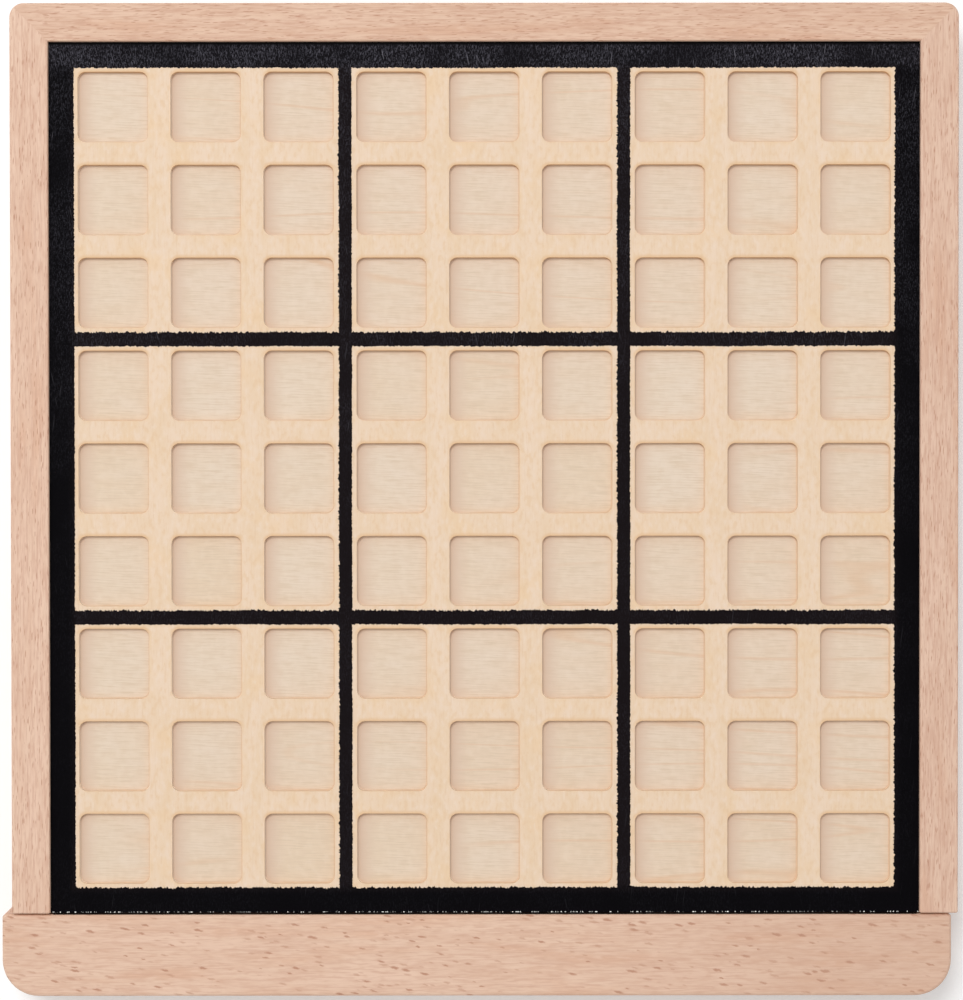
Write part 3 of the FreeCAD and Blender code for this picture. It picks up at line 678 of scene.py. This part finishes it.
def black_paint(name):
    """Printed black paint: it follows the board's upright fibres, and is greyer along the back."""
    material, tree, shader = new_material(name)
    place, along = grain_vector(tree, ALONG_Y)
    where = split(tree, place)
    fibres = use(tree, LONG_GRAIN, vector=along, length=1.1 * MM, width=0.22 * MM, waver=2.0)["Fibres"]
    off_centre = [maths(tree, "ABSOLUTE", where[axis]) for axis in ("X", "Y")]
    behind = ramp(tree, where["Y"], *BORDER_START)
    inside = ramp(tree, maths(tree, "MAXIMUM", *off_centre), *BORDER_START, 1.0, 0.0)
    colour = blend(tree, behind, rgb(1, 0, 2), rgb(12, 10, 14))
    colour = blend(tree, inside, colour, rgb(19, 13, 15))
    # Painted shade: a darker strip along the back rail, where the grey specks and scratches are also left
    # out.
    colour = blend(tree, ramp(tree, where["Y"], *RAIL_SHADE), colour, rgb(3, 2, 3))
    worn = ramp(tree, where["Y"], -40 * MM, 120 * MM, 0.03, 0.18)
    worn = maths(tree, "ADD", worn, maths(tree, "MULTIPLY", behind, 0.33))
    worn = maths(tree, "ADD", worn, maths(tree, "MULTIPLY", inside, 0.04))
    worn = maths(tree, "MULTIPLY", worn, ramp(tree, clouds(tree, place, 60.0, 4.0), 0.35, 0.62, 0.3, 1.0))
    worn = maths(tree, "MULTIPLY", worn, ramp(tree, where["Y"], *RAIL_SHADE, 1.0, 0.0))
    specks = ramp(tree, clouds(tree, place, 2300.0, 2.0), 0.55, 0.72, 0.0, 0.7)
    lit = maths(tree, "MAXIMUM", ramp(tree, fibres, 0.5, 0.68), specks)
    colour = blend(tree, maths(tree, "MULTIPLY", lit, worn), colour, rgb(122, 120, 132))
    long_ones = {"length": 11 * MM, "width": 0.45 * MM, "share": 0.07, "slant": 0.12}
    short_ones = {"length": 7 * MM, "width": 0.4 * MM, "share": 0.05, "slant": -0.2}
    scratches = [use(tree, RAY_FLECKS, vector=along, **ones)["Flecks"] for ones in (long_ones, short_ones)]
    scratched = maths(tree, "MAXIMUM", *scratches)
    scratched = maths(tree, "MULTIPLY", scratched, maths(tree, "MULTIPLY", worn, 1.6), clamp=True)
    colour = blend(tree, scratched, colour, rgb(148, 146, 156))
    roughness = ramp(tree, fibres, 0.3, 0.7, 0.55, 0.75)
    finish_surface(tree, shader, colour, roughness, fibres, 0.06 * MM, strength=0.6, gloss=0.04)
    return material


def worn_paint(name):
    """The board's front edge: paint ran over it to a ragged line, and the arris is worn bare in dashes."""
    material, tree, shader = new_material(name)
    place, along = grain_vector(tree)
    where = split(tree, place)
    dashes = streaks(tree, place, 2300.0, 300.0)
    runs = clouds(tree, place, 90.0, 1.0)
    arris = ramp(tree, where["Y"], BOARD_FRONT + 0.04 * MM, BOARD_FRONT + 0.09 * MM)
    worn = maths(tree, "MULTIPLY", ramp(tree, dashes, 0.58, 0.62), ramp(tree, runs, 0.35, 0.5, 0.4, 1.0))
    colour = blend(tree, maths(tree, "MULTIPLY", worn, arris), rgb(5, 3, 6), rgb(255, 255, 250))
    ragged = maths(tree, "ADD", runs, maths(tree, "MULTIPLY", dashes, 0.3))
    drip_end = maths(tree, "SUBTRACT", BOARD_TOP + 0.7 * MM, maths(tree, "MULTIPLY", ragged, 3 * MM))
    below = maths(tree, "LESS_THAN", where["Z"], drip_end)
    in_groove = maths(tree, "GREATER_THAN", maths(tree, "ABSOLUTE", where["X"]), RAIL_INNER)
    wood, _ = ply_colour(tree, place, along)
    colour = blend(tree, maths(tree, "MAXIMUM", below, in_groove), colour, wood)
    finish_surface(tree, shader, colour, 0.7, dashes, 0.04 * MM, gloss=0.04)
    return material


def printed_number(name):
    """Black ink on the tiles, slightly worn."""
    material, tree, shader = new_material(name)
    worn = clouds(tree, grain_vector(tree)[0], 1500.0, 2.0)
    colour = blend(tree, ramp(tree, worn, 0.55, 0.8, 0.0, 0.5), rgb(22, 19, 20), rgb(70, 62, 58))
    finish_surface(tree, shader, colour, 0.5, worn, 0.02 * MM, strength=0.4, gloss=0.5)
    return material


def staple_wire(name):
    """Bright drawn steel wire, with fine marks."""
    material, tree, shader = new_material(name)
    marks = clouds(tree, grain_vector(tree)[0], 2500.0, 3.0)
    colour = blend(tree, marks, rgb(196, 196, 200), rgb(150, 150, 156))
    roughness = ramp(tree, marks, 0.3, 0.7, 0.25, 0.42)
    shader.inputs["Metallic"].default_value = 1.0
    finish_surface(tree, shader, colour, roughness, marks, 0.02 * MM, strength=0.4, gloss=0.5)
    return material


# Each rail is moved to its own part of the pattern, so that no two look alike
BEECH_LEFT = beech("beech_left_rail", (227, 191, 167), ALONG_Y, slant=0.03)
BEECH_RIGHT = beech("beech_right_rail", (223, 187, 164), ALONG_Y, shift=(0.2, 0.0, 0.0), slant=0.02)
BEECH_BACK = beech("beech_back_rail", (223, 186, 161), shift=(0.3, 0.1, 0.0), slant=-0.05)
BEECH_FRONT = beech(
    "beech_drawer_front",
    (226, 190, 166),
    shift=(0.1, 0.35, 0.0),
    fleck_size=(5.2 * MM, 1.4 * MM),
    fleck_share=0.9,
    fleck_tone=(186, 135, 110),
    fleck_depth=0.85,
    ragged=0.7 * MM,
    slant=math.radians(11),
    fibre_depth=0.6,
    shade_to_right=0.3,
    black_gap_shade=0.95,
)
BIRCH_FACE = birch_face("birch_board_face")
BIRCH_FLOOR = pocket_floor("birch_pocket_floor")
POCKET_WALL = pocket_wall("birch_pocket_wall")
PLY_EDGE = ply_edge("birch_ply_edge")
PAINT = black_paint("printed_black_paint")
WORN_PAINT = worn_paint("worn_front_edge")
BASE_PLY = plain_wood("base_plywood", (226, 196, 162), ALONG_X, 20 * MM, 0.8 * MM)
DRAWER_WOOD = plain_wood("drawer_box_wood", (226, 198, 168), ALONG_Y, 16 * MM, 0.5 * MM)
DRAWER_WOOD_ACROSS = plain_wood("drawer_box_wood_across", (226, 198, 168), ALONG_X, 16 * MM, 0.5 * MM)
DIVIDER_WOOD = plain_wood("divider_plywood", (228, 198, 164), ALONG_X, 12 * MM, 0.5 * MM)
DIVIDER_WOOD_ALONG = plain_wood("divider_plywood_along", (228, 198, 164), ALONG_Y, 12 * MM, 0.5 * MM)
TILE_WOOD = plain_wood("number_tile_wood", (234, 208, 178), ALONG_Y, 10 * MM, 0.45 * MM, mixed=0.8)
NUMBER_INK = printed_number("number_ink")
STAPLE_STEEL = staple_wire("bright_staple_wire")


# The case: rails, milled board and print


def model_rails():
    """The three rails, with their grooves and mitres, and their edges sanded."""
    for cad_node, name, material in (
        ("side_rail_left", "beech_rail_left", BEECH_LEFT),
        ("side_rail_right", "beech_rail_right", BEECH_RIGHT),
        ("back_rail", "beech_rail_back", BEECH_BACK),
    ):
        dress(sanded_copy(cad_node, name, RAIL_SANDING), material, "case", "beech_rail", cad_node)


def model_cell():
    """The board's first cell: a square of its top round one milled pocket with softened edges."""
    deselect()
    start = CELL_PITCH / 2 - HALF_FIELD
    bpy.ops.mesh.primitive_plane_add(size=POCKET_SIDE, location=(start, start, BOARD_TOP))
    cell = bpy.context.active_object
    settle(cell)
    edit(cell)
    bpy.ops.mesh.select_all(action="SELECT")
    bpy.ops.mesh.bevel(offset=POCKET_RADIUS, offset_type="OFFSET", segments=8, affect="VERTICES", profile=0.5)
    bpy.ops.mesh.delete(type="ONLY_FACE")
    bpy.ops.mesh.select_all(action="SELECT")
    bpy.ops.mesh.extrude_edges_move()
    mesh = bmesh.from_edit_mesh(cell.data)
    for vert in mesh.verts:
        if vert.select:
            x, y = vert.co.x - start, vert.co.y - start
            grow = CELL_PITCH / 2 / max(abs(x), abs(y))
            vert.co.x, vert.co.y = start + x * grow, start + y * grow
    bmesh.update_edit_mesh(cell.data)

    def round_pocket(edge):
        return all(max(abs(v.co.x - start), abs(v.co.y - start)) < POCKET_SIDE / 2 + HAIR for v in edge.verts)

    def at_rim(edge):
        upright = [abs(face.normal.z) < 0.5 for face in edge.link_faces]
        return level(edge, BOARD_TOP) and len(upright) == 2 and sum(upright) == 1

    choose(cell, "EDGE", round_pocket)
    bpy.ops.mesh.extrude_edges_move(TRANSFORM_OT_translate={"value": (0, 0, -POCKET_DEPTH)})
    bpy.ops.mesh.edge_face_add()
    choose(cell, "EDGE", at_rim)
    bpy.ops.mesh.bevel(offset=RIM_ROUND, segments=4)
    choose(cell, "EDGE", lambda edge: level(edge, BOARD_TOP - POCKET_DEPTH))
    bpy.ops.mesh.bevel(offset=FOOT_ROUND, segments=3)
    leave_edit()
    return cell


def repeat_cells(board):
    """Nine cells to the right, and nine such rows to the back, in one mesh."""
    for offset in ((CELL_PITCH, 0, 0), (0, CELL_PITCH, 0)):
        row = board.modifiers.new("row", "ARRAY")
        row.count = CELLS
        row.use_relative_offset = False
        row.use_constant_offset = True
        row.constant_offset_displace = offset
        row.use_merge_vertices = True
        row.merge_threshold = MERGE
        bpy.ops.object.modifier_apply(modifier=row.name)
    edit(board)
    merge_points()
    leave_edit()


def thicken_board(board):
    """Widens the milled field to the board's own edges, and closes it below."""
    edit(board)
    for axis, edge_place, target in (
        (0, -HALF_FIELD, -BOARD_SIDE),
        (0, HALF_FIELD, BOARD_SIDE),
        (1, -HALF_FIELD, BOARD_FRONT),
        (1, HALF_FIELD, BOARD_BACK),
    ):
        choose(board, "EDGE", lambda e: is_open(e) and lies_at(e, axis, edge_place))
        step = [0, 0, 0]
        step[axis] = target - edge_place
        if target == BOARD_FRONT:
            step[axis] += PAINT_START
            push(*step)
            step[axis] = -PAINT_START
        push(*step)
    choose(board, "EDGE", is_open)
    push(z=BOARD_BOTTOM - BOARD_TOP)
    bpy.ops.mesh.edge_face_add()
    bpy.ops.mesh.select_all(action="SELECT")
    bpy.ops.mesh.normals_make_consistent(inside=False)
    choose(board, "EDGE", lambda e: level(e, BOARD_TOP) and abs(middle(e).y - BOARD_FRONT) < HAIR)
    bpy.ops.mesh.bevel(offset=WORN_EDGE, segments=4)
    leave_edit()


def board_surface(face):
    """The material of one of the board's faces, from where it lies and which way it looks."""
    if face.center.y < BOARD_FRONT + PAINT_START and face.normal.z > -0.5:
        return WORN_PAINT
    if face.center.z > BOARD_TOP - RIM_ROUND:
        return BIRCH_FACE
    if max(abs(face.center.x), abs(face.center.y)) < HALF_FIELD:
        return BIRCH_FLOOR if face.normal.z > 0.9 else POCKET_WALL
    return PLY_EDGE


def model_board():
    """The plywood board: one cell with its milled pocket is modelled, and repeated nine by nine."""
    board = model_cell()
    board.name = board.data.name = "milled_board"
    repeat_cells(board)
    thicken_board(board)
    surfaces = [BIRCH_FACE, BIRCH_FLOOR, PLY_EDGE, WORN_PAINT, POCKET_WALL]
    for material in surfaces:
        board.data.materials.append(material)
    for face in board.data.polygons:
        face.material_index = surfaces.index(board_surface(face))
    finish_mesh(board)
    dress(board, None, "case", "birch_ply", "game_board")


def line_edges(start, width, end):
    """Where the print's edges lie along one axis, with its two inner lines of one width."""
    inner = BLOCK_PITCH / 2
    outer = GRID_SIDE / 2 - WINDOW_TRIM
    half = width / 2
    return [start, -outer, -inner - half, -inner + half, inner - half, inner + half, outer, end]


def creep(along, line, tooth, wave):
    """How far paint strays over its edge at a place along it. Each line has its own part of the noise."""
    stray = wave * noise.noise(Vector((along / WAVE_LENGTH, line * 37, 1.5)))
    for size, share in TEETH:
        stray += tooth * share * noise.noise(Vector((along / size, line * 71, 2.5)))
    return stray


def fray_edges(film, xs, ys):
    """Makes the windows' straight edges waver, as paint does that crept along the fibres."""
    for vert in film.data.vertices:
        x, y = vert.co.x, vert.co.y
        for index, line in enumerate(xs[1:-1]):
            if abs(x - line) < HAIR:
                vert.co.x += creep(y, line, SIDE_TEETH[index % 2], SIDE_WAVE)
        for index, line in enumerate(ys[1:-1]):
            if abs(y - line) < HAIR:
                vert.co.y += creep(x, line, LEVEL_TEETH[index % 2], LEVEL_WAVE)


def model_print():
    """The printed lines: a film of paint with nine windows whose edges are ragged."""
    xs = line_edges(-RAIL_INNER, LINE_WIDTH, RAIL_INNER)
    ys = line_edges(BOARD_FRONT + PAINT_START, LEVEL_LINE_WIDTH, BACK_INNER)
    strips = len(xs) - 1
    deselect()
    bpy.ops.mesh.primitive_grid_add(x_subdivisions=strips, y_subdivisions=strips, size=strips)
    film = bpy.context.active_object
    film.name = film.data.name = "printed_lines"
    for vert in film.data.vertices:
        vert.co = (xs[round(vert.co.x + strips / 2)], ys[round(vert.co.y + strips / 2)], INK_TOP)

    def in_window(face):
        centre = face.calc_center_median()
        return all(min(abs(abs(c) - m) for m in (0, BLOCK_PITCH)) < MM for c in centre.xy)

    def at_window(edge):
        return is_open(edge) and max(abs(c) for c in middle(edge).xy) < GRID_SIDE / 2 + MM

    edit(film)
    if choose(film, "FACE", in_window) != 9:
        raise RuntimeError("the printed lines have nine windows")
    bpy.ops.mesh.delete(type="FACE")
    for _ in range(2):
        choose(film, "EDGE", at_window)
        bpy.ops.mesh.subdivide(number_cuts=EDGE_CUTS)
    leave_edit()
    fray_edges(film, xs, ys)
    pick(film)
    body = film.modifiers.new("thickness", "SOLIDIFY")
    body.thickness = INK_TOP - BOARD_TOP + PAINT_SOAK
    body.offset = -1
    bpy.ops.object.modifier_apply(modifier=body.name)
    dress(film, PAINT, "case", "black_print", "printed_grid")


# The drawer, the base and the number tiles


def model_front_bar():
    """The drawer's front. Its top back edge lies forward a little, clear of the board's worn edge."""
    bar = sanded_copy("drawer_front", "drawer_front_bar", BAR_SANDING)
    for vert in bar.data.vertices:
        if vert.co.y > BAR_BACK - 0.6 * MM and vert.co.z > BAR_TOP - 1.5 * MM:
            vert.co.y -= BAR_SET_FORWARD
    dress(bar, BEECH_FRONT, "drawer", "beech_front", "drawer_front")


def model_box():
    """The base and the drawer's box: plain boards with their edges just broken. The staples stay."""
    for cad_node, material, body, slot in (
        ("base_panel", BASE_PLY, "case", "base_ply"),
        ("drawer_side_left", DRAWER_WOOD, "drawer", "drawer_wood"),
        ("drawer_side_right", DRAWER_WOOD, "drawer", "drawer_wood"),
        ("drawer_back", DRAWER_WOOD_ACROSS, "drawer", "drawer_wood"),
        ("drawer_floor", BASE_PLY, "drawer", "base_ply"),
        ("divider_across_1", DIVIDER_WOOD, "drawer", "divider_ply"),
        ("divider_across_2", DIVIDER_WOOD, "drawer", "divider_ply"),
        ("divider_along_1", DIVIDER_WOOD_ALONG, "drawer", "divider_ply"),
        ("divider_along_2", DIVIDER_WOOD_ALONG, "drawer", "divider_ply"),
    ):
        dress(sanded_copy(cad_node, f"{cad_node}_board", BOX_SANDING), material, body, slot, cad_node)
    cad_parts["base_staples"].material_slots[0].material = STAPLE_STEEL


def model_tile():
    """One loose tile, with rounded corners and softened edges, standing on the origin."""
    deselect()
    bpy.ops.mesh.primitive_cube_add(size=1.0, location=(0, 0, TILE_THICKNESS / 2))
    tile = bpy.context.active_object
    tile.scale = (TILE_SIDE, TILE_SIDE, TILE_THICKNESS)
    settle(tile)
    edit(tile)
    choose(tile, "EDGE", lambda e: abs(e.verts[0].co.z - e.verts[1].co.z) > TILE_THICKNESS / 2)
    bpy.ops.mesh.bevel(offset=TILE_CORNER, segments=6)
    choose(tile, "EDGE", lambda e: level(e, 0) or level(e, TILE_THICKNESS))
    bpy.ops.mesh.bevel(offset=TILE_EDGE, segments=3)
    leave_edit()
    finish_mesh(tile)
    tile.data.materials.append(TILE_WOOD)
    return tile


def model_numeral(number):
    """A plain printed numeral, centred over the origin on a tile's top."""
    deselect()
    bpy.ops.object.text_add()
    numeral = bpy.context.active_object
    numeral.data.body = str(number)
    numeral.data.size = NUMERAL_SIZE
    numeral.data.resolution_u = 5
    numeral.data.extrude = INK_THICKNESS
    pick(numeral)
    bpy.ops.object.convert(target="MESH")
    edit(numeral)
    merge_points()
    bpy.ops.transform.shrink_fatten(value=NUMERAL_STROKE, use_even_offset=True)
    leave_edit()
    for vert in numeral.data.vertices:
        vert.co.z = math.copysign(INK_THICKNESS, vert.co.z)
    centre = sum((Vector(corner) for corner in numeral.bound_box), Vector()) / 8
    numeral.location = (-centre.x, -centre.y, TILE_THICKNESS)
    settle(numeral)
    numeral.data.materials.clear()
    numeral.data.materials.append(NUMBER_INK)
    return numeral


def tile_spot(place, low, high):
    """Where one of a bay's nine tiles lies, a little off its place and a little turned."""
    column, row = place % 3, place // 3
    x = low[0] + TILE_SIDE / 2 + column * (high[0] - low[0] - TILE_SIDE) / 2
    y = low[1] + TILE_SIDE / 2 + row * (high[1] - low[1] - TILE_SIDE) / 2
    off = Vector((random.uniform(-1, 1), random.uniform(-1, 1), 0)) * TILE_PLAY
    turn = math.radians(random.uniform(-TILE_TURN_DEGREES, TILE_TURN_DEGREES))
    return Matrix.Translation(Vector((x, y, low[2])) + off) @ Matrix.Rotation(turn, 4, "Z")


def lay_tiles():
    """Nine loose tiles of each number in its bay, none of them quite straight."""
    tile = model_tile()
    for number in range(1, 10):
        numeral = model_numeral(number)
        low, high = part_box(f"tiles_{number}")
        laid = []
        for place in range(9):
            spot = tile_spot(place, low, high)
            for model in (tile, numeral):
                copy = bpy.data.objects.new("copy", model.data.copy())
                scene.collection.objects.link(copy)
                copy.matrix_world = spot
                laid.append(copy)
        pick(laid[0])
        for copy in laid:
            copy.select_set(True)
        bpy.ops.object.join()
        tiles = bpy.context.active_object
        tiles.name = tiles.data.name = f"number_tiles_{number}"
        settle(tiles)
        dress(tiles, None, "drawer", "tile_wood", f"tiles_{number}")
        bpy.data.objects.remove(numeral)
    bpy.data.objects.remove(tile)


model_rails()
model_board()
model_print()
model_front_bar()
model_box()
lay_tiles()


# Floor, light and camera


def seen_rays(tree):
    """1 for rays that look at a surface, straight or mirrored, and 0 for those that gather its light."""
    rays = tree.nodes.new("ShaderNodeLightPath").outputs
    seen = maths(tree, "MAXIMUM", rays["Is Camera Ray"], rays["Is Glossy Ray"])
    return maths(tree, "MAXIMUM", seen, rays["Is Transmission Ray"])


def grey(value):
    return (value, value, value, 1)


def make_floor():
    """A pale floor that keeps the object's shadow, and turns white some way from it."""
    deselect()
    bpy.ops.mesh.primitive_plane_add(size=FLOOR_SIDE, location=(0, 0, -FLOOR_DROP))
    floor = bpy.context.active_object
    floor.name = "floor"
    material = bpy.data.materials.new("floor_paper")
    material.use_nodes = True
    tree = material.node_tree
    tree.nodes.clear()
    seen = seen_rays(tree)
    matt = node(tree, "ShaderNodeBsdfDiffuse", {"Color": blend(tree, seen, grey(0.88), grey(0.97))})
    glow = node(tree, "ShaderNodeEmission", {"Color": grey(0.12), "Strength": 1.0})
    shown = node(tree, "ShaderNodeMixShader", {0: seen, 2: glow.outputs[0]})
    near = node(tree, "ShaderNodeAddShader", {0: matt.outputs[0], 1: shown.outputs[0]})
    white = node(tree, "ShaderNodeEmission", {"Color": grey(1), "Strength": 1.0})
    place = tree.nodes.new("ShaderNodeTexCoord").outputs["Object"]
    away = node(tree, "ShaderNodeVectorMath", {0: place}, operation="LENGTH").outputs["Value"]
    far = maths(tree, "MULTIPLY", seen, ramp(tree, away, *FLOOR_WHITE))
    surface = node(tree, "ShaderNodeMixShader", {0: far, 1: near.outputs[0], 2: white.outputs[0]})
    out = tree.nodes.new("ShaderNodeOutputMaterial")
    tree.links.new(surface.outputs[0], out.inputs["Surface"])
    floor.data.materials.append(material)


def light_world():
    """A soft light from all round, stronger from above. It looks white where it is seen."""
    world = bpy.data.worlds.new("studio")
    scene.world = world
    world.use_nodes = True
    tree = world.node_tree
    tree.nodes.clear()
    upwards = split(tree, tree.nodes.new("ShaderNodeTexCoord").outputs["Generated"])["Z"]
    strength = ramp(tree, upwards, 0.0, 1.0, SKY_LOW, SKY_HIGH, "LINEAR")
    soft = node(tree, "ShaderNodeBackground", {"Color": grey(1), "Strength": strength})
    white = node(tree, "ShaderNodeBackground", {"Color": grey(1), "Strength": 1.0})
    mixed = node(tree, "ShaderNodeMixShader", {0: seen_rays(tree), 1: soft.outputs[0], 2: white.outputs[0]})
    out = tree.nodes.new("ShaderNodeOutputWorld")
    tree.links.new(mixed.outputs[0], out.inputs["Surface"])


def add_lamp(name, place, size, power):
    """A round soft lamp that faces the board."""
    lamp = bpy.data.objects.new(name, bpy.data.lights.new(name, "AREA"))
    lamp.data.shape = "DISK"
    lamp.data.size = size
    lamp.data.energy = power
    lamp.location = place
    lamp.rotation_euler = (-Vector(place)).to_track_quat("-Z", "Y").to_euler()
    scene.collection.objects.link(lamp)


def place_camera():
    """Nearly straight down from one metre, as solved from the photograph's edges."""
    camera = bpy.data.objects.new("camera", bpy.data.cameras.new("camera"))
    camera.location = CAMERA_PLACE
    camera.rotation_euler = [math.radians(angle) for angle in CAMERA_TURN_DEGREES]
    camera.data.sensor_fit = "VERTICAL"
    camera.data.sensor_height = SENSOR_HEIGHT
    camera.data.lens = FOCAL_PIXELS * SENSOR_HEIGHT / PHOTO_HEIGHT
    camera.data.clip_start = 50 * MM
    scene.collection.objects.link(camera)
    scene.camera = camera


make_floor()
light_world()
add_lamp("high_window", place=(-0.40, 0.78, 2.4), size=0.8, power=24.0)
add_lamp("side_window", place=(-1.3, 0.4, 1.7), size=1.8, power=5.5)
place_camera()
scene.view_settings.view_transform = "Standard"
